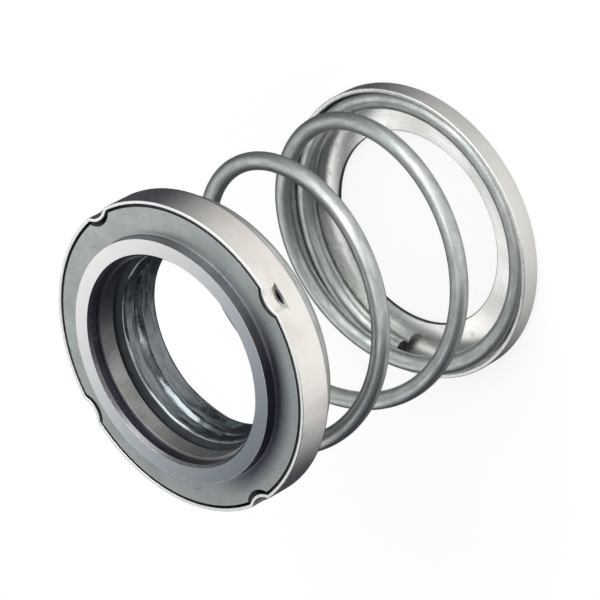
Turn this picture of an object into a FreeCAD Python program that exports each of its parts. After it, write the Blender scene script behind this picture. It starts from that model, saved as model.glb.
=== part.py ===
import FreeCAD, Part
import math
import os
from FreeCAD import Vector

# Rotating half of a component mechanical seal: a head that carries the lapped sealing face, one coil
# spring, and the cup that the spring stands in. Millimetres. Z is the shaft's axis, z = 0 is the back
# face of the spring cup, and the sealing face looks up.

# Driving dimensions. Widths and gaps are stacked outwards from the shaft, so every piece follows its size.

shaft_dia = 32.0

boot_grip = 0.3
boot_tail_wall = 2.55
boot_tail_length = 5.9
boot_flange = 2.3
boot_side_gap = 0.15
boot_neck_gap = 0.2
boot_corner_round = 0.7
boot_recess_gap = 0.4
boot_recess_depth = 1.1
rib_width = 2.1
rib_round = 0.3
groove_width = 0.7
groove_depth = 0.8
boot_end_chamfer = 0.9
bead_length = 0.7
bead_round = 0.25

band_sheet = 0.5
band_bend = 0.8
band_flange_gap = 0.1

ring_shaft_gap = 0.9
ring_step = 0.55
ring_step_depth = 2.0
ring_lead = 0.45
ring_lead_depth = 0.55
ring_rear_chamfer = 0.6
nose_width = 2.5
nose_height = 1.9
nose_root_round = 0.3
ring_shoulder = 4.7
ring_flange = 3.6
ring_edge_chamfer = 0.25
notch_gap = 0.7
notch_side = 0.3

shell_ring_gap = 0.35
shell_sheet = 0.55
shell_bend = 1.0
lip_stand = 0.05
dimple_count = 4
dimple_depth = 0.9
dimple_radius = 3.3
dimple_length = 2.6
dimple_edge_round = 1.1

wire_dia = 3.0
spring_band_gap = 2.1
spring_length = 50.95
spring_turns = 4.3
rear_flat_turns = 0.74
front_flat_turns = 0.83
climb_turns = 0.58
climb_gap = 0.1
rear_turn_flare = 0.4
ease_turns = 0.2
spring_tip_angle = 134.5
spring_seat_gap = 0.05
points_per_turn = 16

cup_shaft_gap = 1.0
cup_spring_gap = 0.25
cup_sheet = 0.75
cup_bend = 1.2
cup_height = 4.0

# Radii that follow from them, from the shaft outwards

shaft_r = shaft_dia / 2
grip_r = shaft_r - boot_grip / 2
tail_outer_r = grip_r + boot_tail_wall
band_outer_r = tail_outer_r + band_sheet
shell_hole_r = band_outer_r + band_bend
spring_inner_r = band_outer_r + spring_band_gap
coil_mean_r = spring_inner_r + wire_dia / 2
cup_outer_r = spring_inner_r + rear_turn_flare + wire_dia + cup_spring_gap + cup_sheet
ring_bore_r = shaft_r + ring_shaft_gap
step_r = ring_bore_r + ring_step
nose_inner_r = step_r + ring_lead
nose_outer_r = nose_inner_r + nose_width
ring_outer_r = nose_outer_r + ring_shoulder
shell_inner_r = ring_outer_r + shell_ring_gap
shell_outer_r = shell_inner_r + shell_sheet
dimple_centre_r = shell_outer_r - dimple_depth + dimple_radius

# Heights that follow from them, from the spring cup to the sealing face

spring_z = cup_sheet
shell_z = spring_z + spring_length
tail_end_z = shell_z - boot_tail_length
boot_z = shell_z + shell_sheet
ring_z = boot_z + boot_flange
ring_front_z = ring_z + ring_flange
lip_z = ring_front_z + lip_stand
face_z = ring_front_z + nose_height

# Two places closer than this are the same
same_place = 1e-4


def revolved(edges):
    """Full turn of a closed profile, drawn in the XZ plane, about the shaft's axis."""
    profile = Part.Face(Part.Wire(Part.__sortEdges__(edges)))
    return profile.revolve(Vector(0, 0, 0), Vector(0, 0, 1), 360)


def lines(points):
    """Straight edges through (radius, height) points."""
    corners = [Vector(r, 0, z) for r, z in points]
    return [Part.makeLine(a, b) for a, b in zip(corners, corners[1:])]


def bend(r, z, radius, start, end):
    """Arc of a bend, about (r, z) in the XZ plane, between two angles in degrees."""
    places = [math.radians(a) for a in (start, (start + end) / 2, end)]
    return Part.Arc(*[Vector(r + radius * math.cos(a), 0, z + radius * math.sin(a)) for a in places]).toShape()


def circles_at(shape, radius, height):
    """The round edges of a turned shape that lie at one radius and height."""
    found = []
    for edge in shape.Edges:
        curve = edge.Curve
        if not isinstance(curve, Part.Circle):
            continue
        if abs(curve.Radius - radius) < same_place and abs(curve.Center.z - height) < same_place:
            found.append(edge)
    return found


def pressed_ring(outer_r, hole_r, z, height, sheet, bend_radius):
    """Sheet ring, L-shaped in section: a flat flange at the bottom and a wall up its outer edge."""
    turn_r = outer_r - bend_radius
    turn_z = z + bend_radius
    outside = lines([(hole_r, z), (turn_r, z)])
    outside.append(bend(turn_r, turn_z, bend_radius, -90, 0))
    wall = lines([(outer_r, turn_z), (outer_r, z + height), (outer_r - sheet, z + height), (outer_r - sheet, turn_z)])
    inside = [bend(turn_r, turn_z, bend_radius - sheet, 0, -90)]
    inside += lines([(turn_r, z + sheet), (hole_r, z + sheet), (hole_r, z)])
    return revolved(outside + wall + inside)


def spring_cup():
    """Cup that centres the rear end of the spring and lets the shaft through its flange."""
    return pressed_ring(cup_outer_r, shaft_r + cup_shaft_gap, 0, cup_height, cup_sheet, cup_bend)


def eased(turns):
    """0 before a change of pitch and the turns since after it, with a parabola over the change itself."""
    half = ease_turns / 2
    inside = min(max(turns, -half), half)
    return (inside + half) ** 2 / (4 * half) + max(turns - half, 0)


def coil_height(turn):
    """Height of the wire's centre after so many turns from its rear tip.

    The rear turn lies flat in the cup until it has to climb over its own tip, with climb_gap to spare.
    Then the pitch opens, and the front turn lies flat against the shell.
    """
    low = spring_z + spring_seat_gap + wire_dia / 2
    high = shell_z - spring_seat_gap - wire_dia / 2
    open_at = rear_flat_turns + climb_turns
    flat_at = spring_turns - front_flat_turns
    climb = (wire_dia + climb_gap) / (1 - rear_flat_turns)
    pitch = (high - low - climb * climb_turns) / (flat_at - open_at)
    rise = climb * eased(turn - rear_flat_turns)
    rise += (pitch - climb) * eased(turn - open_at)
    return low + rise - pitch * eased(turn - flat_at)


def coil_radius(turn):
    """Radius of the wire's centre. The rear turn is wound wider to fill the cup, and closes in as it climbs."""
    opened = min(max((turn - rear_flat_turns) / climb_turns, 0), 1)
    return coil_mean_r + rear_turn_flare * (1 - opened * opened * (3 - 2 * opened))


def coil_point(turn):
    """Centre of the wire after so many turns. The coil is left-hand: it climbs as it turns clockwise."""
    angle = math.radians(spring_tip_angle) - 2 * math.pi * turn
    radius = coil_radius(turn)
    return Vector(radius * math.cos(angle), radius * math.sin(angle), coil_height(turn))


def coil_spring():
    """Round wire swept along its coil, cut square at both tips."""
    steps = round(points_per_turn * spring_turns)
    places = [coil_point(spring_turns * i / steps) for i in range(steps + 1)]
    centre_line = Part.BSplineCurve()
    centre_line.interpolate(places)
    start, way = centre_line.value(0), centre_line.tangent(0)[0]
    section = Part.Wire(Part.Circle(start, way, wire_dia / 2).toShape())
    sweep = Part.BRepOffsetAPI.MakePipeShell(Part.Wire(centre_line.toShape()))
    sweep.setBiNormalMode(Vector(0, 0, 1))
    sweep.add(section)
    sweep.build()
    sweep.makeSolid()
    return Part.Solid(sweep.shape())


def dimpled_outline(inset):
    """Closed outline of the shell's lip, pushed inwards by a round dimple at equal steps.

    inset 0 gives the outside of the sheet, and the sheet's thickness gives the inside. Each dimple is an
    arc about a centre outside the shell, led into the round wall by a small arc on each side.
    """
    wall_r = shell_outer_r
    lead_r = wall_r - dimple_edge_round
    reach = dimple_radius + dimple_edge_round
    lead_x = (lead_r ** 2 - reach ** 2 + dimple_centre_r ** 2) / (2 * dimple_centre_r)
    lead_y = math.sqrt(lead_r ** 2 - lead_x ** 2)
    lead_angle = math.atan2(lead_y, lead_x)
    dimple_half = math.atan2(lead_y, dimple_centre_r - lead_x)
    step = 2 * math.pi / dimple_count
    edges = []

    def arc(centre, radius, start, end):
        places = [centre + Vector(math.cos(a), math.sin(a), 0) * radius for a in (start, (start + end) / 2, end)]
        edges.append(Part.Arc(*places).toShape())

    for i in range(dimple_count):
        turn = i * step
        dimple_centre = Vector(math.cos(turn), math.sin(turn), 0) * dimple_centre_r
        before = Vector(math.cos(turn - lead_angle), math.sin(turn - lead_angle), 0) * lead_r
        after = Vector(math.cos(turn + lead_angle), math.sin(turn + lead_angle), 0) * lead_r
        towards_dimple = math.pi - dimple_half
        arc(before, dimple_edge_round - inset, turn - lead_angle, turn + dimple_half)
        arc(dimple_centre, dimple_radius + inset, turn + math.pi + dimple_half, turn + towards_dimple)
        arc(after, dimple_edge_round - inset, turn - dimple_half, turn + lead_angle)
        arc(Vector(0, 0, 0), wall_r - inset, turn + lead_angle, turn + step - lead_angle)
    return Part.Wire(Part.__sortEdges__(edges))


def head_shell():
    """Drawn shell of the head: rear flange turned in, and dimples lanced into the front of its wall."""
    wall_height = lip_z - dimple_length - shell_z
    shell = pressed_ring(shell_outer_r, shell_hole_r, shell_z, wall_height, shell_sheet, shell_bend)
    lip = Part.Face(dimpled_outline(0)).cut(Part.Face(dimpled_outline(shell_sheet)))
    lip.translate(Vector(0, 0, shell_z + wall_height))
    return shell.fuse(lip.extrude(Vector(0, 0, dimple_length))).removeSplitter()


def notches():
    """Half-round cutters for the notches of the seal ring, one round each dimple of the shell."""
    radius = dimple_radius + notch_side
    centre_r = shell_inner_r - dimple_depth - notch_gap + radius
    cutters = []
    for i in range(dimple_count):
        turn = 2 * math.pi * i / dimple_count
        place = Vector(centre_r * math.cos(turn), centre_r * math.sin(turn), ring_z)
        cutters.append(Part.makeCylinder(radius, ring_flange, place))
    return cutters


def seal_ring():
    """Carbon ring: notched flange, raised lapped nose and stepped bore."""
    step_z = face_z - ring_step_depth
    corners = [
        (ring_bore_r + ring_rear_chamfer, ring_z),
        (ring_outer_r, ring_z),
        (ring_outer_r, ring_front_z),
        (nose_outer_r, ring_front_z),
        (nose_outer_r, face_z),
        (nose_inner_r, face_z),
        (step_r, face_z - ring_lead_depth),
        (step_r, step_z),
        (ring_bore_r, step_z),
        (ring_bore_r, ring_z + ring_rear_chamfer),
    ]
    ring = revolved(lines(corners + corners[:1]))
    ring = ring.makeFillet(nose_root_round, circles_at(ring, nose_outer_r, ring_front_z))
    ring = ring.makeChamfer(ring_edge_chamfer, circles_at(ring, ring_outer_r, ring_front_z))
    return ring.cut(notches())


def boot_bore():
    """(radius, height) points of the boot's bore, from its front recess to its rear lip."""
    recess_r = ring_bore_r + boot_recess_gap
    groove_r = grip_r + groove_depth
    rib_top = ring_z - boot_recess_depth
    groove_top = rib_top - rib_width
    land_top = groove_top - groove_width
    return [
        (recess_r, ring_z),
        (recess_r, rib_top + groove_depth),
        (grip_r + rib_round, rib_top),
        (grip_r, rib_top - rib_round),
        (grip_r, groove_top + rib_round),
        (groove_r, groove_top - rib_round),
        (groove_r, land_top),
        (grip_r, land_top - groove_depth),
        (grip_r, tail_end_z + boot_end_chamfer),
        (grip_r + boot_end_chamfer, tail_end_z),
    ]


def rubber_boot():
    """Rubber boot: a disc behind the seal ring, and a ribbed tail that grips the shaft."""
    disc_r = shell_inner_r - boot_side_gap
    neck_r = shell_hole_r - boot_neck_gap
    outside = [
        (band_outer_r, tail_end_z),
        (band_outer_r, tail_end_z + bead_length),
        (tail_outer_r, tail_end_z + bead_length),
        (tail_outer_r, shell_z),
        (neck_r, shell_z),
        (neck_r, boot_z),
        (disc_r, boot_z),
        (disc_r, ring_z),
    ]
    corners = boot_bore() + outside
    boot = revolved(lines(corners + corners[:1]))
    boot = boot.makeFillet(boot_corner_round, circles_at(boot, disc_r, boot_z))
    return boot.makeFillet(bead_round, circles_at(boot, band_outer_r, tail_end_z))


def drive_band():
    """Steel band round the boot's tail, its front edge turned out against the shell's rear flange."""
    rear_z = tail_end_z + bead_length
    reach_r = spring_inner_r - band_flange_gap
    turn_r = band_outer_r + band_bend
    turn_z = shell_z - band_sheet - band_bend
    tube = lines([(band_outer_r, turn_z), (band_outer_r, rear_z), (tail_outer_r, rear_z), (tail_outer_r, turn_z)])
    outer_bend = bend(turn_r, turn_z, band_bend + band_sheet, 180, 90)
    inner_bend = bend(turn_r, turn_z, band_bend, 90, 180)
    flange = lines([(turn_r, shell_z), (reach_r, shell_z), (reach_r, shell_z - band_sheet), (turn_r, turn_z + band_bend)])
    return revolved(tube + [outer_bend] + flange + [inner_bend])


parts = {
    "spring_cup": spring_cup(),
    "coil_spring": coil_spring(),
    "head_shell": head_shell(),
    "seal_ring": seal_ring(),
    "rubber_boot": rubber_boot(),
    "drive_band": drive_band(),
}

os.makedirs("parts", exist_ok=True)
for name, shape in parts.items():
    shape.exportStep(f"parts/{name}.step")
    box = shape.BoundBox
    print(f"{name}: {len(shape.Solids)} solid, valid {shape.isValid()}, {shape.Volume:.1f} mm3, "
          f"z {box.ZMin:.2f} to {box.ZMax:.2f}, width {box.XLength:.2f}")
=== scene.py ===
# %% [markdown]
# # The rotating head of a component mechanical seal
#
# A pump shaft leaks where it leaves its housing. This part stops the leak: a carbon ring, held in a thin
# steel shell by a rubber boot, is pressed against a still ring by one heavy coil spring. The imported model
# already has every piece at its true size and place. Here each piece gets a finer mesh and a real finish.

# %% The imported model
import math

import bpy
from mathutils import Matrix, Vector


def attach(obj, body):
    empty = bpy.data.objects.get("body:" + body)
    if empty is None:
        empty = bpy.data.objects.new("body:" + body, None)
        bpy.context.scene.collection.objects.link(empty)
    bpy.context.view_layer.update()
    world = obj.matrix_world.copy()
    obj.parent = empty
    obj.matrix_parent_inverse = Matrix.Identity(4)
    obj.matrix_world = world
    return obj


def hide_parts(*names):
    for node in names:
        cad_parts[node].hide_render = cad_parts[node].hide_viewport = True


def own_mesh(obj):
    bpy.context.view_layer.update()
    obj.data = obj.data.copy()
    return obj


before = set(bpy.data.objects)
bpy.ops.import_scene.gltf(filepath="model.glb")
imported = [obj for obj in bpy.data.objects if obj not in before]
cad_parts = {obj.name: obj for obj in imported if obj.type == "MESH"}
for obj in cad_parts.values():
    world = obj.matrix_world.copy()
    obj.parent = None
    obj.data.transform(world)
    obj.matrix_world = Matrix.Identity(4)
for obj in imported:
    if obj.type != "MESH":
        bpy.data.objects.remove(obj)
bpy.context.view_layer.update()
print("nodes:", ", ".join(sorted(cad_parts)))

# %% [markdown]
# ## Units and colours
#
# Sizes are written in millimetres, as on a drawing, and turned to metres in one place. Colours are
# written as the hex values that a colour picker shows, and one function turns them to linear light.

# %% Units and colours
MM = 0.001


def linear(hex_colour):
    """Linear RGBA of an sRGB hex colour."""
    shares = [int(hex_colour[i:i + 2], 16) / 255 for i in (1, 3, 5)]
    return [s / 12.92 if s <= 0.04045 else ((s + 0.055) / 1.055) ** 2.4 for s in shares] + [1.0]


# %% [markdown]
# ## Camera
#
# The view was found by fitting the edges of the shell, nose, bore and cup: a long lens, 41 degrees above
# the floor, rolled so that the head comes down to the lower left. The camera's turn is built from its own
# axes: right, up, and back towards the viewer.

# %% Camera
camera_place = Vector((-14.87, -490.38, 453.86)) * MM
camera_forward = Vector((0.0211, 0.7568, -0.6533)).normalized()
camera_right = Vector((-0.4948, -0.5598, -0.6646))
camera_right = (camera_right - camera_forward * camera_right.dot(camera_forward)).normalized()
camera_up = camera_right.cross(camera_forward)

camera = bpy.data.objects.new("camera", bpy.data.cameras.new("camera"))
bpy.context.scene.collection.objects.link(camera)
camera.data.sensor_width = 36.0
camera.data.lens = 243.4
camera.data.clip_start = 0.05
camera.data.clip_end = 20.0
turn = Matrix((camera_right, camera_up, -camera_forward)).transposed()
camera.matrix_world = Matrix.Translation(camera_place) @ turn.to_4x4()
bpy.context.scene.camera = camera
bpy.context.scene.view_settings.view_transform = "Standard"
print("camera distance in mm:", round(camera_place.length / MM))

# %% [markdown]
# ## Nodes in one line each
#
# Every material, and the spring's tree, is a set of nodes with a few settings and links. One function adds
# a node: its settings are the node's own properties, and its inputs are numbers, colours or other sockets.
# Two more words stand for what the finishes do again and again: they spread a part of a pattern's range, and
# they blend two colours by it.


# %% Nodes in one line each
def add(tree, kind, inputs=None, **settings):
    """Add a node to a tree. inputs maps a socket's name or number to a value or to another socket."""
    node = tree.nodes.new(kind)
    for name, value in settings.items():
        setattr(node, name, value)
    for key, value in (inputs or {}).items():
        if isinstance(value, bpy.types.NodeSocket):
            tree.links.new(value, node.inputs[key])
        else:
            node.inputs[key].default_value = value
    return node


def new_material(name):
    """An empty node material and its tree."""
    material = bpy.data.materials.new(name)
    material.use_nodes = True
    material.node_tree.nodes.clear()
    return material, material.node_tree


def object_place(tree):
    """Where a point lies on its own object, in metres."""
    return add(tree, "ShaderNodeTexCoord").outputs["Object"]


def spread(tree, value, low, high, start=0.35, end=0.65):
    """The value's range start to end, spread to low to high. Noise lies mostly between 0.35 and 0.65."""
    limits = {"From Min": start, "From Max": end, "To Min": low, "To Max": high}
    return add(tree, "ShaderNodeMapRange", {"Value": value, **limits}).outputs[0]


def blend_colours(tree, factor, first, second):
    """Mix of two colours, given as hex or as sockets. A Mix node takes colours at its sockets 6 and 7."""
    shades = [linear(c) if isinstance(c, str) else c for c in (first, second)]
    inputs = {"Factor": factor, 6: shades[0], 7: shades[1]}
    return add(tree, "ShaderNodeMix", inputs, data_type="RGBA").outputs[2]


# %% [markdown]
# ## Floor and daylight
#
# The seal stands on a white sheet. The sheet and the sky show white to the camera, by Light Path's ray
# outputs, so the background stays clean without more light on the metal. Steel shows its surroundings, so
# what reflections see is set apart: the sheet fades from white in front to dark grey behind the seal, as
# it does with a lamp in front and a black cloth laid round the back. All other light sees plain white paper.

# %% Floor and sky
FLOOR_HALF = 3000.0
FLOOR_DROP = 0.05
FADE_SHIFT = 22.0
FADE_TILT = 0.15
FADE_FROM = -0.75
FADE_TO = 0.8
SHEET_GLOW = 0.78
SKY_LIGHT = 0.55
SKY_MIRRORED = 1.2
square = [(-1, -1), (1, -1), (1, 1), (-1, 1)]


def white_sheet():
    """White paper that keeps a shadow. Reflections see a fade instead. It goes by the direction in which a
    point lies from the seal, so near and far agree."""
    material, tree = new_material("white_paper_sheet")
    path = add(tree, "ShaderNodeLightPath").outputs
    place = object_place(tree)
    depth = add(tree, "ShaderNodeVectorMath", {0: place, 1: (FADE_TILT, 1.0, 0.0)}, operation="DOT_PRODUCT")
    shifted = add(tree, "ShaderNodeMath", {0: depth.outputs["Value"], 1: FADE_SHIFT * MM}, operation="ADD")
    away = add(tree, "ShaderNodeVectorMath", {0: place}, operation="LENGTH").outputs["Value"]
    share = add(tree, "ShaderNodeMath", {0: shifted.outputs[0], 1: away}, operation="DIVIDE").outputs[0]
    fade = add(tree, "ShaderNodeMapRange", {"Value": share, "From Min": FADE_FROM, "From Max": FADE_TO},
               interpolation_type="SMOOTHSTEP").outputs[0]
    shade = blend_colours(tree, fade, "#FFFDFA", "#45474E")
    mirrored = add(tree, "ShaderNodeEmission", {"Color": shade, "Strength": 1.0})
    paper = add(tree, "ShaderNodeBsdfDiffuse", {"Color": linear("#D9D9D9")})
    shown = add(tree, "ShaderNodeBsdfDiffuse", {"Color": linear("#8C8C8C")})
    glow = add(tree, "ShaderNodeEmission", {"Color": linear("#FFFFFF"), "Strength": SHEET_GLOW})
    shown = add(tree, "ShaderNodeAddShader", {0: shown.outputs[0], 1: glow.outputs[0]})
    surface = add(tree, "ShaderNodeMixShader",
                  {0: path["Is Camera Ray"], 1: paper.outputs[0], 2: shown.outputs[0]})
    surface = add(tree, "ShaderNodeMixShader",
                  {0: path["Is Glossy Ray"], 1: surface.outputs[0], 2: mirrored.outputs[0]})
    add(tree, "ShaderNodeOutputMaterial", {"Surface": surface.outputs[0]})
    return material


floor_points = [Vector((x * FLOOR_HALF, y * FLOOR_HALF, -FLOOR_DROP)) * MM for x, y in square]
floor_mesh = bpy.data.meshes.new("floor")
floor_mesh.from_pydata(floor_points, [], [(0, 1, 2, 3)])
floor_mesh.materials.append(white_sheet())
floor = bpy.data.objects.new("floor", floor_mesh)
bpy.context.scene.collection.objects.link(floor)

world = bpy.data.worlds.new("studio")
bpy.context.scene.world = world
world.use_nodes = True
sky = world.node_tree
sky.nodes.clear()
rays = add(sky, "ShaderNodeLightPath").outputs
seen = add(sky, "ShaderNodeMath", {0: rays["Is Camera Ray"], 1: rays["Is Transmission Ray"]},
           operation="MAXIMUM").outputs[0]
soft, white, bright = [
    add(sky, "ShaderNodeBackground", {"Color": linear("#FFFFFF"), "Strength": strength}).outputs[0]
    for strength in (SKY_LIGHT, 1.0, SKY_MIRRORED)]
daylight = add(sky, "ShaderNodeMixShader", {0: seen, 1: soft, 2: white}).outputs[0]
daylight = add(sky, "ShaderNodeMixShader", {0: rays["Is Glossy Ray"], 1: daylight, 2: bright}).outputs[0]
add(sky, "ShaderNodeOutputWorld", {"Surface": daylight})

# %% [markdown]
# ## Lamps and cards
#
# Two large soft lamps give the light. Bright metal looks like what stands round it, so the rest is cards
# that only reflections see. Dark ones behind and at -X, which is the lower right of the picture, draw the
# dark sides of the wire, and grey ones stand at +X and in front. A round one that fades from white to dark
# blue hangs where the lapped face looks, because a lapped face is a flat mirror and would otherwise show one
# even tone. A small white one gives the rubber's rib its glint.

# %% Lamps and cards
SEAL_MIDDLE = (0, 0, 30)
round_board = [(math.cos(math.radians(d)), math.sin(math.radians(d))) for d in range(0, 360, 6)]


def aim(thing, place, target):
    """Put a lamp or card at a place, facing a target, both in mm."""
    way = (Vector(target) - Vector(place)).normalized()
    thing.rotation_euler = way.to_track_quat("-Z", "Y").to_euler()
    thing.location = Vector(place) * MM


def soft_lamp(name, place, side, watts):
    """A square lamp that faces the seal; side in mm."""
    lamp = bpy.data.lights.new(name, "AREA")
    lamp.shape = "SQUARE"
    lamp.size = side * MM
    lamp.energy = watts
    thing = bpy.data.objects.new(name, lamp)
    bpy.context.scene.collection.objects.link(thing)
    aim(thing, place, SEAL_MIDDLE)


def reflector_card(name, place, target, size, shades, tilt=0.0, outline=square):
    """A board that only reflections see, fading from shade to shade across its width; size in mm."""
    material, tree = new_material(name + "_board")
    spot = object_place(tree)
    across = add(tree, "ShaderNodeVectorMath", {0: spot, 1: (1.0, tilt, 0.0)}, operation="DOT_PRODUCT")
    half_width, half_height = size[0] / 2 * MM, size[1] / 2 * MM
    fade = spread(tree, across.outputs["Value"], 0.0, 1.0, -half_width, half_width)
    shade, steps = shades[0], len(shades) - 1
    for step, following in enumerate(shades[1:]):
        part = spread(tree, fade, 0.0, 1.0, step / steps, (step + 1) / steps)
        shade = blend_colours(tree, part, shade, following)
    board = add(tree, "ShaderNodeEmission", {"Color": shade if steps else linear(shade), "Strength": 1.0})
    add(tree, "ShaderNodeOutputMaterial", {"Surface": board.outputs[0]})
    points = [(x * half_width, y * half_height, 0) for x, y in outline]
    mesh = bpy.data.meshes.new(name)
    mesh.from_pydata(points, [], [tuple(range(len(points)))])
    mesh.materials.append(material)
    card = bpy.data.objects.new(name, mesh)
    bpy.context.scene.collection.objects.link(card)
    aim(card, place, target)
    card.visible_camera = False
    card.visible_diffuse = False
    card.visible_shadow = False
    card.visible_transmission = False


soft_lamp("key_lamp", (650, -650, 900), side=1100, watts=8.5)
soft_lamp("fill_lamp", (-600, -500, 600), side=800, watts=1.6)
reflector_card("back_card", (-20, 270, 20), (-20, 0, 20), size=(800, 240), shades=["#1B1B29"])
reflector_card("dark_card", (-105, -30, 92), (0, -30, 92), size=(220, 190), shades=["#1F2436"])
reflector_card("grey_card", (400, 120, 120), SEAL_MIDDLE, size=(420, 420), shades=["#747B76"])
reflector_card("face_card", (-2, 53, 107), (-2, -23, 42), size=(60, 40),
               shades=["#FFFFFF", "#A8B0B7", "#0A2240"], tilt=0.38, outline=round_board)
reflector_card("front_card", (-10, -330, 300), SEAL_MIDDLE, size=(300, 260), shades=["#7C8283"])
reflector_card("glint_card", (140, 75, 108), (0, 0, 54), size=(70, 60), shades=["#FFFFFF"])

# %% [markdown]
# ## Profiles and turned meshes
#
# Cup, ring, boot and band are all round about the shaft. Each could be made with a Screw or Spin tool, but
# a closed section that is wrapped round the axis column by column gives the same mesh and lets a column
# differ, which the notches and dimples need. Every corner of a section gets its own small round, because
# real edges are never sharp and the round is what catches the light. A flat next to a round has an extra
# loop close by, so that its shading stays flat.


# %% Rounded sections
ROUND_STEPS = 5
WIDE_ROUND = 0.3
WIDE_STEP_DEGREES = 9
HOLD = 0.03


def rounded(corners):
    """Closed (radius, height) outline through corners given as (radius, height, size of round).
    A wide round gets more steps, and a loop at the distance HOLD keeps the flat beside each round flat."""
    outline = []
    count = len(corners)
    for i, (r, h, size) in enumerate(corners):
        here = Vector((r, h))
        back = Vector(corners[i - 1][:2]) - here
        onward = Vector(corners[(i + 1) % count][:2]) - here
        if size == 0:
            outline.append(tuple(here))
            continue
        half = back.angle(onward) / 2
        reach = size / math.tan(half)
        back.normalize()
        onward.normalize()
        centre = here + (back + onward).normalized() * (size / math.sin(half))
        start, end = here + back * reach, here + onward * reach
        outline.append(tuple(start + back * HOLD))
        spoke, last = start - centre, end - centre
        sweep = math.atan2(spoke.x * last.y - spoke.y * last.x, spoke.dot(last))
        steps = ROUND_STEPS
        if size > WIDE_ROUND:
            steps = max(steps, round(abs(math.degrees(sweep)) / WIDE_STEP_DEGREES))
        for k in range(steps + 1):
            turn = sweep * k / steps
            c, s = math.cos(turn), math.sin(turn)
            outline.append(tuple(centre + Vector((spoke.x * c - spoke.y * s, spoke.x * s + spoke.y * c))))
        outline.append(tuple(end + onward * HOLD))
    return outline


# %% Turned meshes
COLUMNS = 360
SHARP_DEGREES = 35.0


def new_piece(name, points, faces):
    """A smooth-shaded mesh object from points in mm, with creases where faces meet sharply."""
    mesh = bpy.data.meshes.new(name)
    mesh.from_pydata([Vector(p) * MM for p in points], [], faces)
    mesh.validate()
    mesh.shade_smooth()
    mesh.set_sharp_from_angle(angle=math.radians(SHARP_DEGREES))
    piece = bpy.data.objects.new(name, mesh)
    bpy.context.scene.collection.objects.link(piece)
    return piece


def wrapped(name, columns):
    """Close a ring of columns, each a closed section of (x, y, z) points, into one mesh."""
    rows = len(columns[0])
    points = [p for column in columns for p in column]
    faces = []
    for i in range(len(columns)):
        j = (i + 1) % len(columns)
        for k in range(rows):
            m = (k + 1) % rows
            faces.append((i * rows + k, j * rows + k, j * rows + m, i * rows + m))
    return new_piece(name, points, faces)


def at_angle(section, angle):
    """A (radius, height) section stood up at an angle about the shaft."""
    return [(r * math.cos(angle), r * math.sin(angle), h) for r, h in section]


def turned(name, section):
    """A section turned about the shaft."""
    return wrapped(name, [at_angle(section, 2 * math.pi * i / COLUMNS) for i in range(COLUMNS)])


def outward(piece):
    """True when the mesh encloses a positive volume, so its faces point outwards."""
    mesh = piece.data
    mesh.calc_loop_triangles()
    volume = 0.0
    for t in mesh.loop_triangles:
        a, b, c = (mesh.vertices[v].co for v in t.vertices)
        volume += a.dot(b.cross(c)) / 6
    print(f"{piece.name}: {len(mesh.loop_triangles)} triangles, {volume * 1e9:.1f} mm3")
    return volume > 0


def finish_piece(piece, body, node):
    """Turn a piece's faces outwards, put it on its body and let it stand for its node."""
    if not outward(piece):
        piece.data.flip_normals()
    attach(piece, body)
    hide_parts(node)


# %% [markdown]
# ## Heights and radii
#
# The same stack of sizes as in the solids: widths and gaps from the shaft outwards, and heights from the
# cup to the sealing face.

# %% Heights and radii
grip_r = 15.85
tail_outer_r = 18.4
band_outer_r = 18.9
shell_hole_r = 19.7
spring_inner_r = 21.0
wire_r = 1.5
coil_mean_r = 22.5
cup_outer_r = 25.4
cup_hole_r = 17.0
ring_bore_r = 16.9
step_r = 17.45
nose_inner_r = 17.9
nose_outer_r = 20.4
ring_outer_r = 25.1
shell_inner_r = 25.45
shell_outer_r = 26.0

shell_z = 51.7
tail_end_z = 45.8
boot_z = 52.25
ring_z = 54.55
ring_front_z = 58.15
rim_round = 0.2
lip_z = 58.2
face_z = 60.05
print("gap between the lip and the ring in mm:", round(shell_inner_r - ring_outer_r, 2))

# %% [markdown]
# ## Spring cup
#
# The cup is stainless sheet pressed into a ring with an L-shaped section. Its section is drawn once and
# turned. Its edges keep a small round from tumbling after the press.

# %% Spring cup
cup_sheet = 0.75
cup_height = 4.0
cup_bend = 1.2
cup_edge = 0.18
cup_rim_round = 0.22
cup_section = rounded([
    (cup_hole_r, 0, cup_edge),
    (cup_outer_r, 0, cup_bend),
    (cup_outer_r, cup_height, cup_rim_round),
    (cup_outer_r - cup_sheet, cup_height, cup_rim_round),
    (cup_outer_r - cup_sheet, cup_sheet, cup_bend - cup_sheet),
    (cup_hole_r, cup_sheet, cup_edge),
])
cup = turned("cup_pressed_ring", cup_section)

# %% [markdown]
# ## Head shell
#
# The shell is drawn from thin sheet. At four places its lip is lanced: the sheet is sheared along a short
# line and the strip in front of the cut is pushed in, so that it catches in a notch of the carbon ring.
# A boolean cut would leave a ragged mesh here. Instead each column of the mesh has a lower part, which is
# always round, and an upper part, which follows the dimpled outline, and the two share their points
# wherever the wall is whole.

# %% Dimpled outline
dimple_count = 4
dimple_depth = 0.9
dimple_radius = 3.3
dimple_lead = 1.1
dimple_length = 2.6
shell_sheet = 0.55
shell_bend = 1.0
dimple_centre_r = shell_outer_r - dimple_depth + dimple_radius

# The lead-in's round touches the wall and the dimple's round, so its centre, the dimple's centre and the
# shaft make a triangle with three known sides, which gives its angle.
lead_r = shell_outer_r - dimple_lead
lead_reach = dimple_radius + dimple_lead
lead_x = (lead_r ** 2 - lead_reach ** 2 + dimple_centre_r ** 2) / (2 * dimple_centre_r)
lead_angle = math.acos(lead_x / lead_r)


def from_dimple(angle):
    """Angle measured from the middle of the nearest dimple."""
    step = 2 * math.pi / dimple_count
    return (angle + step / 2) % step - step / 2


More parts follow.
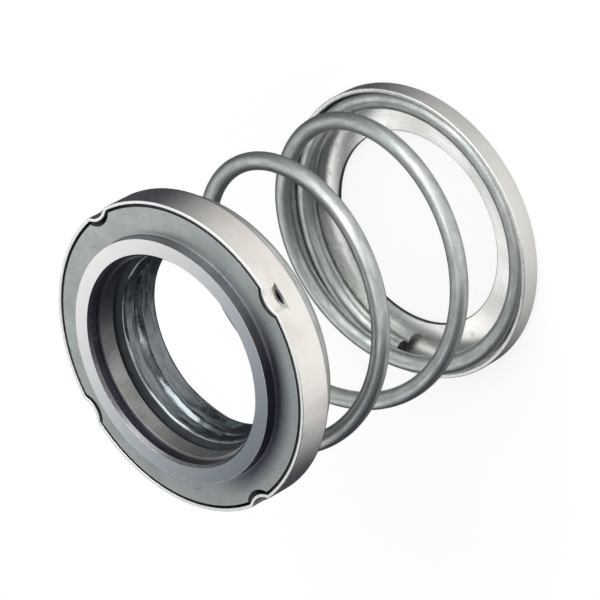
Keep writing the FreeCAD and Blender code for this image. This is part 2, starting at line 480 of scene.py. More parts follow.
def wall_radius(angle, inset):
    """Radius of the shell's lip at an angle: round, with a lead-in and a round dimple at each quarter."""
    turn = abs(from_dimple(angle))
    if turn >= lead_angle:
        return shell_outer_r - inset
    lead_centre = Vector((lead_r * math.cos(lead_angle), lead_r * math.sin(lead_angle)))
    way = (Vector((dimple_centre_r, 0)) - lead_centre).normalized()
    meet = lead_centre + way * (dimple_lead - inset)
    if turn < math.atan2(meet.y, meet.x):
        size = dimple_radius + inset
        off = dimple_centre_r * math.sin(turn)
        return dimple_centre_r * math.cos(turn) - math.sqrt(size ** 2 - off ** 2)
    off = lead_r * math.sin(turn - lead_angle)
    return lead_r * math.cos(turn - lead_angle) + math.sqrt((dimple_lead - inset) ** 2 - off ** 2)


HALVINGS = 40


def slit_angle():
    """Angle from the dimple's middle where the pushed-in strip just parts from the wall behind it. It is
    found by halving the range in which it lies."""
    low, high = 0.0, lead_angle
    for _ in range(HALVINGS):
        middle = (low + high) / 2
        if wall_radius(middle, 0) < shell_inner_r:
            low = middle
        else:
            high = middle
    return low


slit = slit_angle()
print("slit half angle in degrees:", round(math.degrees(slit), 2))

# %% Shell sections
shear_z = lip_z - dimple_length
loop_below = 0.6
loop_above = 0.4
lip_round = 0.14
hole_round = 0.12
bend_steps = 10


def quarter(r, h, size, start, end, steps):
    """Arc of a section, about (r, h), between two angles in degrees."""
    turns = [math.radians(start + (end - start) * k / steps) for k in range(steps + 1)]
    return [(r + size * math.cos(t), h + size * math.sin(t)) for t in turns]


def lower_section():
    """Open line from the shear line down the outside, round the rear flange and up the inside."""
    turn_r, turn_z = shell_outer_r - shell_bend, shell_z + shell_bend
    outside = [(shell_outer_r, h) for h in (shear_z, shear_z - loop_below, turn_z + HOLD)]
    outside += quarter(turn_r, turn_z, shell_bend, 0, -90, bend_steps)
    hole = rounded([(turn_r, shell_z, 0), (shell_hole_r, shell_z, hole_round),
                    (shell_hole_r, shell_z + shell_sheet, hole_round), (turn_r, shell_z + shell_sheet, 0)])
    inside = quarter(turn_r, turn_z, shell_bend - shell_sheet, -90, 0, bend_steps)
    inside += [(shell_inner_r, h) for h in (turn_z + HOLD, shear_z - loop_below, shear_z)]
    return outside + hole[1:-1] + inside


def upper_section(outer, inner):
    """Open line from the shear line up the inside, over the lip and down the outside."""
    lip_turn_z = lip_z - lip_round
    heights = [shear_z, shear_z + loop_above, lip_turn_z - HOLD]
    lip = quarter(inner + lip_round, lip_turn_z, lip_round, 180, 90, ROUND_STEPS)
    lip += quarter(outer - lip_round, lip_turn_z, lip_round, 90, 0, ROUND_STEPS)
    return [(inner, h) for h in heights] + lip + [(outer, h) for h in reversed(heights)]


# %% Shell columns
FINE_DEGREES = 0.4
FINE_COLUMNS = 20
FINE_REACH = 1.25


def shell_angles():
    """Column angles: every degree, and closer through each dimple, with the slit's ends met exactly."""
    fine = math.radians(FINE_DEGREES)
    near = [slit + k * fine for k in range(-FINE_COLUMNS, FINE_COLUMNS + 1)]
    near = [a for a in near if fine / 2 < a < lead_angle * FINE_REACH]
    places = []
    for i in range(dimple_count):
        middle = 2 * math.pi * i / dimple_count
        places += [middle] + [middle + a for a in near] + [middle - a for a in near]
    edge = max(near)
    places += [math.radians(d) for d in range(360) if abs(from_dimple(math.radians(d))) > edge + fine]
    return sorted(a % (2 * math.pi) for a in places)


# %% Shell mesh
SAME_ANGLE = 1e-9


def shell_mesh():
    """Shell as one closed mesh, open only at the slit behind each dimple."""
    points, faces, columns = [], [], []

    def put(r, h, angle):
        points.append((r * math.cos(angle), r * math.sin(angle), h))
        return len(points) - 1

    for angle in shell_angles():
        lower = [put(r, h, angle) for r, h in lower_section()]
        section = upper_section(wall_radius(angle, 0), wall_radius(angle, shell_sheet))
        last = len(section) - 1
        shared = {}
        if abs(from_dimple(angle)) >= lead_angle:
            shared = {0: lower[-1], last: lower[0]}
        elif abs(abs(from_dimple(angle)) - slit) < SAME_ANGLE:
            shared = {last: lower[-1]}
        upper = [shared[k] if k in shared else put(r, h, angle) for k, (r, h) in enumerate(section)]
        columns.append((angle, lower, upper))

    for i, (angle, lower, upper) in enumerate(columns):
        next_angle, next_lower, next_upper = columns[(i + 1) % len(columns)]
        for line, next_line in ((lower, next_lower), (upper, next_upper)):
            for k in range(len(line) - 1):
                faces.append((line[k], next_line[k], next_line[k + 1], line[k + 1]))
        middle = abs(from_dimple(angle + ((next_angle - angle) % (2 * math.pi)) / 2))
        if middle >= lead_angle:
            continue
        # Two strips close the shear line: steps outside and inside beside the slit, and the edges of the
        # lower and the pushed-in sheet in it. Points that two corners share are named once.
        a_out, a_in, b_in, b_out = lower[0], lower[-1], upper[0], upper[-1]
        c_out, c_in, d_in, d_out = next_lower[0], next_lower[-1], next_upper[0], next_upper[-1]
        if middle > slit:
            quads = [(a_out, b_out, d_out, c_out), (b_in, a_in, c_in, d_in)]
        else:
            quads = [(a_out, a_in, c_in, c_out), (b_in, b_out, d_out, d_in)]
        for quad in quads:
            kept = list(dict.fromkeys(quad))
            if len(kept) > 2:
                faces.append(tuple(kept))
    return new_piece("shell_drawn_steel", points, faces)


shell = shell_mesh()
print("shell:", len(shell.data.vertices), "points")

# %% [markdown]
# ## Carbon ring
#
# The ring is moulded and machined: a flange with four half-round notches, and a raised nose whose face is
# lapped flat. Every column has the same section except at the notches, where the flange stops short. The
# bore has a short lead and a step behind the face.

# %% Carbon ring
lead_depth = 0.55
step_depth = 2.0
ring_chamfer = 0.6
ring_edge = 0.08
notch_gap = 0.7
notch_side = 0.3
notch_radius = dimple_radius + notch_side
notch_centre_r = shell_inner_r - dimple_depth - notch_gap + notch_radius
notch_angle = math.acos((notch_centre_r ** 2 + ring_outer_r ** 2 - notch_radius ** 2)
                        / (2 * notch_centre_r * ring_outer_r))


def flange_radius(angle):
    """Outer radius of the ring's flange, less in a notch."""
    turn = abs(from_dimple(angle))
    if turn >= notch_angle:
        return ring_outer_r
    off = notch_centre_r * math.sin(turn)
    return notch_centre_r * math.cos(turn) - math.sqrt(notch_radius ** 2 - off ** 2)


def ring_section(flange_r):
    """Section of the ring whose flange ends at one radius."""
    return rounded([
        (ring_bore_r + ring_chamfer, ring_z, ring_edge),
        (flange_r, ring_z, ring_edge),
        (flange_r, ring_front_z, rim_round),
        (nose_outer_r, ring_front_z, 0.3),
        (nose_outer_r, face_z, 0.04),
        (nose_inner_r, face_z, 0.03),
        (step_r, face_z - lead_depth, 0.05),
        (step_r, face_z - step_depth, 0.05),
        (ring_bore_r, face_z - step_depth, ring_edge),
        (ring_bore_r, ring_z + ring_chamfer, ring_edge),
    ])


# %% [markdown]
# The ring's columns stand every degree, and closer in a notch, with one on each edge of it.

# %% Ring mesh
notch_step = math.radians(0.5)
notch_steps = math.floor(notch_angle / notch_step)
whole_degrees = [math.radians(d) for d in range(360)]
ring_angles = [a for a in whole_degrees if abs(from_dimple(a)) > notch_angle + notch_step]
for i in range(dimple_count):
    middle = 2 * math.pi * i / dimple_count
    ring_angles += [middle + k * notch_step for k in range(-notch_steps, notch_steps + 1)]
    ring_angles += [middle - notch_angle, middle + notch_angle]
ring_angles = sorted(a % (2 * math.pi) for a in ring_angles)
ring = wrapped("ring_moulded_carbon", [at_angle(ring_section(flange_radius(a)), a) for a in ring_angles])
print("ring:", len(ring_angles), "columns")

# %% [markdown]
# ## Rubber boot
#
# The boot is moulded in one piece: a disc behind the carbon ring, and a tail with ribs that grip the
# shaft. It is turned like the rest, with larger rounds, because rubber has no sharp edges.

# %% Rubber boot
rib_top = ring_z - 1.1
groove_top = rib_top - 2.1
land_top = groove_top - 0.7
groove_r = grip_r + 0.8
neck_r = 17.3
tail_step = 0.7
hole_gap = 0.2
wall_gap = 0.15
boot_section = rounded([
    (neck_r, ring_z, 0.1),
    (neck_r, rib_top + 0.8, 0.15),
    (grip_r + 0.05, rib_top, 0.75),
    (grip_r, groove_top, 0.3),
    (groove_r, groove_top - 0.25, 0.2),
    (groove_r, land_top, 0.2),
    (grip_r, land_top - 0.8, 1.4),
    (grip_r, tail_end_z + 0.9, 0.3),
    (grip_r + 0.9, tail_end_z, 0.25),
    (band_outer_r, tail_end_z, 0.25),
    (band_outer_r, tail_end_z + tail_step, 0.1),
    (tail_outer_r, tail_end_z + tail_step, 0),
    (tail_outer_r, shell_z, 0),
    (shell_hole_r - hole_gap, shell_z, 0),
    (shell_hole_r - hole_gap, boot_z, 0),
    (shell_inner_r - wall_gap, boot_z, 0.7),
    (shell_inner_r - wall_gap, ring_z, 0.2),
])
boot = turned("boot_moulded_rubber", boot_section)

# %% [markdown]
# ## Drive band
#
# A thin steel band presses the boot's tail on the shaft. Its front edge is turned out against the shell.

# %% Drive band
band_sheet = 0.5
band_bend = 0.8
band_rear_z = tail_end_z + tail_step
band_reach_r = spring_inner_r - 0.1
band_section = rounded([
    (band_outer_r, band_rear_z, 0.1),
    (band_outer_r, shell_z - band_sheet, band_bend),
    (band_reach_r, shell_z - band_sheet, 0.1),
    (band_reach_r, shell_z, 0.1),
    (tail_outer_r, shell_z, band_bend + band_sheet),
    (tail_outer_r, band_rear_z, 0.1),
])
band = turned("band_rolled_steel", band_section)

# %% [markdown]
# ## Coil spring
#
# The wire follows a rule: its rear turn lies flat in the cup, wound a little wider to fill it, climbs over
# its own tip, rises at an even pitch and ends in a flat turn under the shell. Geometry Nodes suit that well.
# A row of points is moved onto the coil by a few sums, made a curve, and a circle is run along it. Its ends
# are cut square, as on the real spring. The tree's inputs are the spring's real sizes. The wire also keeps
# where each point lies along and around it, for its draw marks.

# %% Spring tree
spring_turns = 4.3
rear_flat_turns = 0.74
front_flat_turns = 0.83
climb_turns = 0.58
climb_gap = 0.1
ease_turns = 0.2
rear_turn_flare = 0.4
seat_gap = 0.05
tip_angle = 134.5
steps_per_turn = 150
wire_sides = 40
spring_low = cup_sheet + seat_gap + wire_r
spring_high = shell_z - seat_gap - wire_r
open_at = rear_flat_turns + climb_turns
flat_at = spring_turns - front_flat_turns
climb = (2 * wire_r + climb_gap) / (1 - rear_flat_turns)
pitch = (spring_high - spring_low - climb * climb_turns) / (flat_at - open_at)
print("pitch of the open turns in mm:", round(pitch, 2))


def spring_tree():
    """Tree that makes the coil from its named sizes."""
    tree = bpy.data.node_groups.new("coil_spring", "GeometryNodeTree")
    sizes = {
        "Coil Radius": coil_mean_r * MM, "Wire Radius": wire_r * MM, "Turns": spring_turns,
        "Low End": spring_low * MM, "Climb": climb * MM, "Pitch": pitch * MM, "Climb At": rear_flat_turns,
        "Open At": open_at, "Flat At": flat_at, "Ease": ease_turns, "Tip Angle": math.radians(tip_angle),
        "Rear Flare": rear_turn_flare * MM,
    }
    for name, value in sizes.items():
        socket = tree.interface.new_socket(name, in_out="INPUT", socket_type="NodeSocketFloat")
        socket.default_value = value
    steps_socket = tree.interface.new_socket("Steps Per Turn", in_out="INPUT", socket_type="NodeSocketInt")
    steps_socket.default_value = steps_per_turn
    tree.interface.new_socket("Wire", in_out="INPUT", socket_type="NodeSocketMaterial")
    tree.interface.new_socket("Spring", in_out="OUTPUT", socket_type="NodeSocketGeometry")
    given = add(tree, "NodeGroupInput").outputs

    def calc(operation, *values):
        """One step of the coil's sums."""
        return add(tree, "ShaderNodeMath", dict(enumerate(values)), operation=operation).outputs[0]

    steps = calc("ROUND", calc("MULTIPLY", given["Turns"], given["Steps Per Turn"]))
    points = add(tree, "GeometryNodeMeshLine", {"Count": calc("ADD", steps, 1.0)}, mode="OFFSET")
    index = add(tree, "GeometryNodeInputIndex").outputs[0]
    turn = calc("MULTIPLY", calc("DIVIDE", index, steps), given["Turns"])
    half = calc("MULTIPLY", given["Ease"], 0.5)

    def eased(start):
        """0 before a change of pitch and the turns since after it, with a parabola over the change."""
        since = calc("SUBTRACT", turn, start)
        inside = calc("MINIMUM", calc("MAXIMUM", since, calc("MULTIPLY", half, -1.0)), half)
        bent = calc("DIVIDE", calc("POWER", calc("ADD", inside, half), 2.0), calc("MULTIPLY", half, 4.0))
        return calc("ADD", bent, calc("MAXIMUM", calc("SUBTRACT", since, half), 0.0))

    # The wire lies flat, climbs over its tip, goes on at the open pitch and lies flat again.
    height = calc("MULTIPLY_ADD", given["Climb"], eased(given["Climb At"]), given["Low End"])
    slowing = calc("SUBTRACT", given["Pitch"], given["Climb"])
    height = calc("MULTIPLY_ADD", slowing, eased(given["Open At"]), height)
    height = calc("SUBTRACT", height, calc("MULTIPLY", given["Pitch"], eased(given["Flat At"])))
    angle = calc("SUBTRACT", given["Tip Angle"], calc("MULTIPLY", turn, 2 * math.pi))
    climbing = {"From Min": given["Climb At"], "From Max": given["Open At"], "To Min": 1.0, "To Max": 0.0}
    widened = add(tree, "ShaderNodeMapRange", {"Value": turn, **climbing},
                  interpolation_type="SMOOTHSTEP").outputs[0]
    radius = calc("MULTIPLY_ADD", given["Rear Flare"], widened, given["Coil Radius"])
    place = add(tree, "ShaderNodeCombineXYZ", {
        "X": calc("MULTIPLY", radius, calc("COSINE", angle)),
        "Y": calc("MULTIPLY", radius, calc("SINE", angle)),
        "Z": height,
    })
    coil = add(tree, "GeometryNodeSetPosition", {"Geometry": points.outputs[0], "Position": place.outputs[0]})
    line = add(tree, "GeometryNodeMeshToCurve", {"Mesh": coil.outputs[0]})
    length = add(tree, "GeometryNodeSplineParameter").outputs["Length"]
    line = add(tree, "GeometryNodeStoreNamedAttribute",
               {"Geometry": line.outputs[0], "Name": "along_wire", "Value": length},
               data_type="FLOAT", domain="POINT")
    outline = add(tree, "GeometryNodeCurvePrimitiveCircle",
                  {"Resolution": wire_sides, "Radius": given["Wire Radius"]})
    around = add(tree, "GeometryNodeInputPosition").outputs[0]
    outline = add(tree, "GeometryNodeStoreNamedAttribute",
                  {"Geometry": outline.outputs[0], "Name": "around_wire", "Value": around},
                  data_type="FLOAT_VECTOR", domain="POINT")
    wire = add(tree, "GeometryNodeCurveToMesh",
               {"Curve": line.outputs[0], "Profile Curve": outline.outputs[0], "Fill Caps": True})
    real = add(tree, "GeometryNodeRealizeInstances", {"Geometry": wire.outputs[0]})
    dressed = add(tree, "GeometryNodeSetMaterial", {"Geometry": real.outputs[0], "Material": given["Wire"]})
    add(tree, "NodeGroupOutput", {"Spring": dressed.outputs[0]})
    return tree


# %% Growing a mesh
def grown_mesh(name, tree, settings):
    """Run a tree on an empty mesh and keep its result as a plain mesh object."""
    seed = bpy.data.objects.new(name + "_seed", bpy.data.meshes.new(name + "_seed"))
    bpy.context.scene.collection.objects.link(seed)
    modifier = seed.modifiers.new("tree", "NODES")
    modifier.node_group = tree
    for item in tree.interface.items_tree:
        if item.in_out == "INPUT" and item.name in settings:
            modifier[item.identifier] = settings[item.name]
    graph = bpy.context.evaluated_depsgraph_get()
    mesh = bpy.data.meshes.new_from_object(seed.evaluated_get(graph))
    mesh.name = name
    bpy.data.objects.remove(seed)
    piece = bpy.data.objects.new(name, mesh)
    bpy.context.scene.collection.objects.link(piece)
    return piece


# %% [markdown]
# ## Finishes
#
# Each finish is what its own process leaves. The patterns are all noise, squeezed or stretched to the size
# of the real marks. Coordinates are the object's own, in metres, so a mark keeps its size, and round
# pieces also use the radius and height of each point, which turn noise into lathe and rolling marks. Marks
# that are finer than the render can show are drawn as coarse as they need to be seen.

# %% Pattern helpers
def grain(tree, place, cell, detail=2.0):
    """Noise from 0 to 1. cell gives the size of its spots in mm along each axis."""
    scale = [1 / (size * MM) for size in cell]
    scaled = add(tree, "ShaderNodeVectorMath", {0: place, 1: scale}, operation="MULTIPLY")
    noise = add(tree, "ShaderNodeTexNoise", {"Vector": scaled.outputs[0], "Scale": 1.0, "Detail": detail})
    return noise.outputs["Fac"]


def total(tree, *values):
    """Sum of sockets and numbers."""
    result = values[0]
    for value in values[1:]:
        result = add(tree, "ShaderNodeMath", {0: result, 1: value}, operation="ADD").outputs[0]
    return result


def shaft_distance(tree, place):
    """How far a place is from the shaft's axis."""
    flat = add(tree, "ShaderNodeVectorMath", {0: place, 1: (1.0, 1.0, 0.0)}, operation="MULTIPLY").outputs[0]
    return add(tree, "ShaderNodeVectorMath", {0: flat}, operation="LENGTH").outputs["Value"]


DRIFT = 0.02


def turning_place(tree):
    """(radius, drift, height) of a point, for marks that run round the shaft. The drift across the piece is
    slow, so that a mark fades in and out along its way round."""
    place = object_place(tree)
    axes = add(tree, "ShaderNodeSeparateXYZ", {0: place}).outputs
    across = total(tree, axes["X"], axes["Y"])
    drift = add(tree, "ShaderNodeMath", {0: across, 1: DRIFT}, operation="MULTIPLY").outputs[0]
    inputs = {"X": shaft_distance(tree, place), "Y": drift, "Z": axes["Z"]}
    return add(tree, "ShaderNodeCombineXYZ", inputs).outputs[0]


def raised(tree, height, depth, under=None):
    """Bump of a height pattern; depth is its real depth in mm."""
    inputs = {"Height": height, "Distance": depth * MM, "Strength": 1.0}
    if under is not None:
        inputs["Normal"] = under
    return add(tree, "ShaderNodeBump", inputs).outputs[0]


def finished(tree, **inputs):
    """End a tree with one principled shader."""
    shader = add(tree, "ShaderNodeBsdfPrincipled", {key.replace("_", " "): v for key, v in inputs.items()})
    add(tree, "ShaderNodeOutputMaterial", {"Surface": shader.outputs[0]})


# %% [markdown]
# ### Stainless sheet, drawn and pressed
#
# Deep drawing drags the sheet along its punch, so the shell's wall has fine lines along the shaft, over
# the faint grain of the rolled sheet. Handling leaves a few broad cloudy patches, and smears where it is less
# bright. The cup and the band were turned and rolled instead, so their lines run round.

# %% Stainless sheet
def stainless_sheet(name, colour, cloudy, roughness, lines_run, lined=1.0):
    """Bright stainless sheet. Its fine lines run along the shaft or round it; lined is their strength."""
    material, tree = new_material(name)
    place = object_place(tree)
    clouds = grain(tree, place, (9.0, 9.0, 9.0), 3.0)
    if lines_run == "along":
        lines = grain(tree, place, (0.11, 0.11, 5.0), 3.0)
        faint = grain(tree, place, (0.7, 0.7, 16.0), 2.0)
    else:
        turning = turning_place(tree)
        lines = grain(tree, turning, (0.09, 0.3, 0.09), 3.0)
        faint = grain(tree, turning, (0.6, 0.5, 0.6), 2.0)
    skin = grain(tree, place, (0.16, 0.16, 0.16), 2.0)
    shade = blend_colours(tree, spread(tree, clouds, 0.0, 1.0, 0.45, 0.7), colour, cloudy)
    smears = grain(tree, place, (2.6, 2.6, 0.8), 5.0)
    rough = total(tree, spread(tree, lines, -0.03 * lined, 0.04 * lined),
                  spread(tree, faint, -0.025, 0.03),
                  spread(tree, clouds, roughness - 0.02, roughness + 0.05),
                  spread(tree, smears, 0.0, 0.14, 0.6, 0.72))
    bump = raised(tree, lines, 0.0016 * lined)
    bump = raised(tree, skin, 0.0012, bump)
    finished(tree, Base_Color=shade, Metallic=1.0, Roughness=rough, Normal=bump)
    return material


shell_steel = stainless_sheet("drawn_stainless_sheet", "#F2F0ED", "#E3DFDA", 0.17, "along")
cup_steel = stainless_sheet("pressed_stainless_sheet", "#FBFAF7", "#F0EFEB", 0.25, "round", 0.25)
band_steel = stainless_sheet("rolled_stainless_band", "#D8D5D0", "#C7C4BE", 0.24, "round")

# %% [markdown]
# ### Sheared edge
#
# Where the sheet was cut, the first part is burnished and the rest is torn, which looks dull and streaked
# across the sheet. It is on the shell's slits, round the cup's hole and on the ends of the wire. The shell's
# lip and the cup's rim were tumbled bright after the cut.

# %% Sheared edge
def sheared_edge(name, burnished, torn):
    """Cut steel edge, mixed from the colours of its burnished and its torn part."""
    material, tree = new_material(name)
    place = object_place(tree)
    tears = grain(tree, place, (0.1, 0.1, 0.6), 3.0)
    crumbs = grain(tree, place, (0.2, 0.2, 0.2), 3.0)
    shade = blend_colours(tree, spread(tree, tears, 0.0, 1.0), burnished, torn)
    rough = spread(tree, crumbs, 0.34, 0.55)
    bump = raised(tree, total(tree, tears, crumbs), 0.02)
    finished(tree, Base_Color=shade, Metallic=1.0, Roughness=rough, Normal=bump)
    return material


sheared_steel = sheared_edge("sheared_stainless_edge", "#A5A7A3", "#5B5E5C")
rim_steel = sheared_edge("tumbled_stainless_rim", "#FDFDFB", "#D2D4D1")

# %% [markdown]
# ### Drawn wire
#
# Spring wire is pulled through a die, which leaves long fine lines along it, and is then coiled cold, which
# dulls it to satin. The tree that made the coil kept where each point lies along and around the wire, so
# the lines follow the coil exactly.

# %% Drawn wire
def drawn_wire(name):
    """Satin spring steel with draw lines that follow the wire."""
    material, tree = new_material(name)
    along = add(tree, "ShaderNodeAttribute", attribute_name="along_wire").outputs["Fac"]
    around = add(tree, "ShaderNodeAttribute", attribute_name="around_wire").outputs["Vector"]
    around = add(tree, "ShaderNodeSeparateXYZ", {0: around}).outputs
    inputs = {"X": around["X"], "Y": around["Y"], "Z": along}
    wire_place = add(tree, "ShaderNodeCombineXYZ", inputs).outputs[0]
    lines = grain(tree, wire_place, (0.14, 0.14, 12.0), 3.0)
    scuffs = grain(tree, wire_place, (0.9, 0.9, 3.0), 3.0)
    satin = grain(tree, object_place(tree), (0.16, 0.16, 0.16), 3.0)
    worn = spread(tree, total(tree, satin, scuffs), 0.0, 1.0, 0.8, 1.2)
    shade = blend_colours(tree, worn, "#CBCFCD", "#A8AEAC")
    rough = total(tree, spread(tree, lines, -0.02, 0.03), spread(tree, scuffs, 0.4, 0.48))
    bump = raised(tree, lines, 0.001)
    bump = raised(tree, satin, 0.005, bump)
    finished(tree, Base_Color=shade, Metallic=1.0, Roughness=rough, Normal=bump)
    return material


wire_steel = drawn_wire("satin_drawn_wire")
cut_wire = sheared_edge("cropped_wire_end", "#4A454F", "#26222C")

# %% [markdown]
# ### Carbon ring, moulded and lapped
#
# Seal carbon is a baked mix of graphite and resin: grey, half metallic, with a fine grain and small dark
# pores. The moulded flange stays dull. The nose's face is lapped to a mirror, and the lathe leaves its
# side and bore smooth and darker, with fine lines round them. One side of the nose with its foot and the
# upper part of the bore are dark, and a painted shade stands for that here: a dark colour on that side,
# which fades out towards the flange's rim and the other side. That may be a reflection, but a thin dark film,
# which fades out towards the flange's rim and the other side, stands for it here.

# %% Painted shade on one side
# Where the painted shade lies: a direction from the shaft, and the distances in mm over which it comes up.
FOOT_SHADE_SIDE = ((-0.8, -0.6, 0.0), 12.0, 18.0)
BORE_SHADE_SIDE = ((0.95, 0.3, 0.0), 7.0, 16.0)
PAINTED_SHADE_STRENGTH = 0.85
painted_shade_edge_r = nose_outer_r + 0.9
painted_shade_end_r = painted_shade_edge_r + 2.6


def under_painted_shade(tree, place, shade, painted_shade, side):
    """A shade under a painted shade of another colour, on one side. side is that side's direction from the
    shaft, and the two distances in mm, measured that way, over which the painted shade comes up."""
    direction, thin_at, full_at = side
    across = add(tree, "ShaderNodeVectorMath", {0: place, 1: direction}, operation="DOT_PRODUCT")
    on_side = spread(tree, across.outputs["Value"], 0.0, PAINTED_SHADE_STRENGTH, thin_at * MM, full_at * MM)
    inside = spread(tree, shaft_distance(tree, place), 1.0, 0.0, painted_shade_edge_r * MM, painted_shade_end_r * MM)
    patch = add(tree, "ShaderNodeMath", {0: inside, 1: on_side}, operation="MULTIPLY").outputs[0]
    return blend_colours(tree, patch, shade, painted_shade)


# %% Carbon finishes
def carbon_skin(name, colour, dark, metallic, roughness, pores, lathe, grit=1.0, painted_shade=None, side=FOOT_SHADE_SIDE):
    """Carbon with grain, pores and light flecks. pores is how strongly they show, lathe is the depth of the
    turning lines in mm, and grit is the share of the moulded roughness that the cut has left. The dark colour
    after grit, if there is one, is a painted shade on one side, and side says where it lies."""
    material, tree = new_material(name)
    place = object_place(tree)
    flour = grain(tree, place, (0.22, 0.22, 0.22), 4.0)
    clouds = grain(tree, place, (5.0, 5.0, 5.0), 3.0)
    holes = grain(tree, place, (0.5, 0.5, 0.5), 3.0)
    turning = grain(tree, turning_place(tree), (0.12, 0.3, 0.12), 2.0)
    shade = blend_colours(tree, spread(tree, total(tree, flour, clouds), 0.0, 1.0, 0.8, 1.2), colour, dark)
    shade = blend_colours(tree, spread(tree, holes, 0.0, pores, 0.66, 0.74), shade, "#1D1F20")
    shade = blend_colours(tree, spread(tree, holes, 0.7 * pores, 0.0, 0.27, 0.33), shade, "#D4D7D5")
    if painted_shade:
        shade = under_painted_shade(tree, place, shade, painted_shade, side)
    rough = total(tree, spread(tree, flour, -0.04 * grit, 0.05 * grit),
                  spread(tree, clouds, roughness, roughness + 0.06))
    bump = raised(tree, turning, lathe)
    bump = raised(tree, total(tree, flour, holes), 0.006 * grit, bump)
    finished(tree, Base_Color=shade, Metallic=metallic, Roughness=rough, Normal=bump)
    return material


# The dark colours #2A2B40, #2A2238, #3B3446 and #2E2638 are a painted shade on one side of the nose, its foot
# and the bore.
carbon_moulded = carbon_skin("moulded_carbon", "#ABB0AD", "#9AA09F", 0.75, 0.3, 0.7, 0.001, painted_shade="#2A2B40")
carbon_nose = carbon_skin("turned_carbon_nose", "#7C7E84", "#66686E", 0.7, 0.3, 0.4, 0.004, painted_shade="#2A2238")
# The step colour is a painted shade for the bore's step wall and the round of the flange's edge, where shade
# falls.
carbon_step_painted_shade = carbon_skin("bored_step_painted_shade", "#3A3644", "#2B2834", 0.7, 0.3, 0.4, 0.004)
carbon_lead = carbon_skin("bored_carbon_lead", "#807F82", "#68676B", 0.75, 0.34, 0.4, 0.002, 0.05,
                          "#3B3446", BORE_SHADE_SIDE)
carbon_bored = carbon_skin("bored_carbon", "#B0B0AD", "#8F8F90", 0.75, 0.3, 0.4, 0.002, 0.05,
                           "#2E2638", BORE_SHADE_SIDE)
carbon_lapped = carbon_skin("lapped_carbon", "#EEEDEC", "#EAE9E8", 0.95, 0.07, 0.1, 0.0002, 0.008)

# %% [markdown]
# ### Moulded rubber
#
# Nitrile rubber from a polished mould: black, with a gloss that wax and handling make uneven, shallow
# flow lines round the bore, a soft swell and a trace of dust. Rubber's own IOR is about 1.5. Its waxed skin
# shines more than that in the photo, so the IOR is raised until it matches.

# %% Moulded rubber
def moulded_rubber(name, gloss):
    """Black rubber; gloss is 1 for a skin from a polished mould and less for a dull one."""
    material, tree = new_material(name)
    place = object_place(tree)
    flow = grain(tree, turning_place(tree), (0.5, 0.25, 0.5), 3.0)
    streaks = grain(tree, turning_place(tree), (1.6, 0.12, 0.45), 2.0)
    wax = grain(tree, place, (2.4, 2.4, 1.1), 3.0)
    swell = grain(tree, place, (4.5, 4.5, 2.4), 1.0)
    dust = grain(tree, place, (0.25, 0.25, 0.25), 3.0)
    shade = blend_colours(tree, spread(tree, dust, 0.0, 0.5, 0.55, 0.75), "#0A0B0D", "#323837")
    rough = total(tree, spread(tree, wax, 0.5 - 0.38 * gloss, 0.6 - 0.32 * gloss),
                  spread(tree, dust, -0.03, 0.05))
    bump = raised(tree, flow, 0.035)
    bump = raised(tree, streaks, 0.035, bump)
    bump = raised(tree, swell, 0.45, bump)
    bump = raised(tree, dust, 0.004, bump)
    finished(tree, Base_Color=shade, Metallic=0.0, Roughness=rough, Normal=bump, IOR=2.6,
             Specular_IOR_Level=0.05 + 0.95 * gloss, Specular_Tint=linear("#C9D4DB"))
    return material


rubber = moulded_rubber("moulded_nitrile_rubber", 1.0)
dull_rubber = moulded_rubber("dull_nitrile_rubber", 0.12)

# %% [markdown]
# ## The coil, and which face gets which finish
#
# The coil is grown by its tree, and only its cut ends have more than four corners to a face. On the shell,
# cup, ring and boot the finish changes from face to face, so a rule on the radius and height of each face's
# middle picks it.

# %% The coil
WIRE_SHARP_DEGREES = 40
spring = grown_mesh("spring_round_wire", spring_tree(), {"Wire": wire_steel})
spring.data.shade_smooth()
spring.data.set_sharp_from_angle(angle=math.radians(WIRE_SHARP_DEGREES))
spring.data.materials.append(cut_wire)
wire_ends = [face for face in spring.data.polygons if len(face.vertices) > 4]
for face in wire_ends:
    face.material_index = 1
print("cut ends of the wire:", len(wire_ends))


# %% Finishes by face
SHEET, SHEARED, RIM = range(3)
MOULDED, NOSE, STEP, LEAD, BORED, LAPPED = range(6)
GLOSSY, DULL = range(2)
LEVEL = 0.01
SHELL_RIM = 0.08
CUP_RIM = 0.1
LEDGE_EDGE = 0.1
GLOSSY_ABOVE_RIB = 0.44


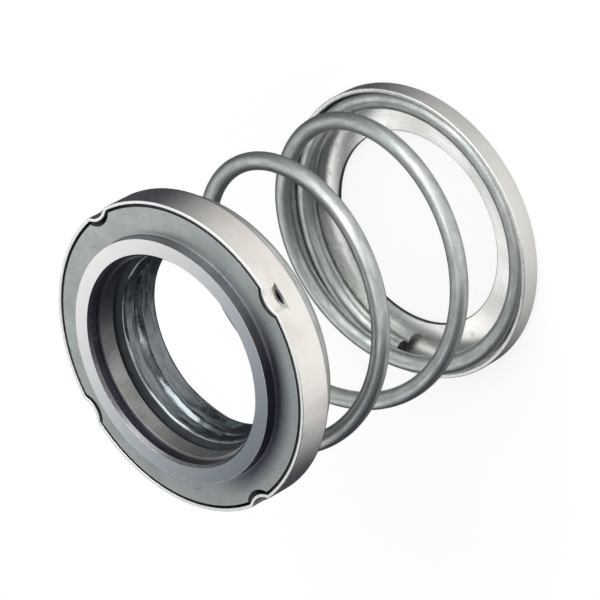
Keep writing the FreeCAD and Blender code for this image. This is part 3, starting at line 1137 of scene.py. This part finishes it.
def dress(piece, materials, pick):
    """Give each face the material that pick(radius, height) numbers."""
    for material in materials:
        piece.data.materials.append(material)
    counts = [0] * len(materials)
    for face in piece.data.polygons:
        middle = face.center / MM
        face.material_index = pick(math.hypot(middle.x, middle.y), middle.z)
        counts[face.material_index] += 1
    print(piece.name, dict(zip([m.name for m in materials], counts)))


def shell_finish(radius, height):
    """Sheet, with a tumbled rim and sheared edges in the slits."""
    if height > lip_z - SHELL_RIM:
        return RIM
    in_slit = abs(height - shear_z) < LEVEL and radius > shell_outer_r - dimple_depth - shell_sheet
    return SHEARED if in_slit else SHEET


def cup_finish(radius, height):
    """Sheet, with a tumbled rim and a sheared edge round the hole."""
    if height > cup_height - CUP_RIM:
        return RIM
    return SHEARED if radius < cup_hole_r + cup_edge else SHEET


def ring_finish(radius, height):
    """Each surface by the tool that cut it. The bore's step wall and the round of the flange's edge get a
    painted shade, the dark step colour.
    """
    if height > face_z - LEVEL:
        return LAPPED
    if radius < step_r - LEDGE_EDGE:
        return BORED
    # The step wall behind the lead takes the step colour, a painted shade.
    if radius < nose_inner_r:
        return STEP if height < face_z - lead_depth else LEAD
    # Painted shade on the round of the flange's edge, in the gap under the shell's lip.
    if ring_front_z - rim_round < height < ring_front_z - LEVEL:
        return STEP
    return NOSE if height > ring_front_z + LEVEL else MOULDED


def boot_finish(radius, height):
    """Glossy up to a little above the rib, and dull in the neck behind the ring."""
    return DULL if height > rib_top + GLOSSY_ABOVE_RIB else GLOSSY


dress(shell, [shell_steel, sheared_steel, rim_steel], shell_finish)
dress(cup, [cup_steel, sheared_steel, rim_steel], cup_finish)
dress(ring, [carbon_moulded, carbon_nose, carbon_step_painted_shade, carbon_lead, carbon_bored, carbon_lapped], ring_finish)
dress(boot, [rubber, dull_rubber], boot_finish)
band.data.materials.append(band_steel)

# %% [markdown]
# ## Putting the pieces on their bodies
#
# Each piece rides on the body that carries it in the imported model, and takes the place of that model's plain
# solid. The coil lies between the two bodies. It rides on the holder, where its rear end stands still in the
# cup.

# %% Bodies and nodes
finish_piece(cup, "holder", "spring_cup")
finish_piece(spring, "holder", "coil_spring")
finish_piece(shell, "head", "head_shell")
finish_piece(ring, "head", "seal_ring")
finish_piece(boot, "head", "rubber_boot")
finish_piece(band, "head", "drive_band")

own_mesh(spring)
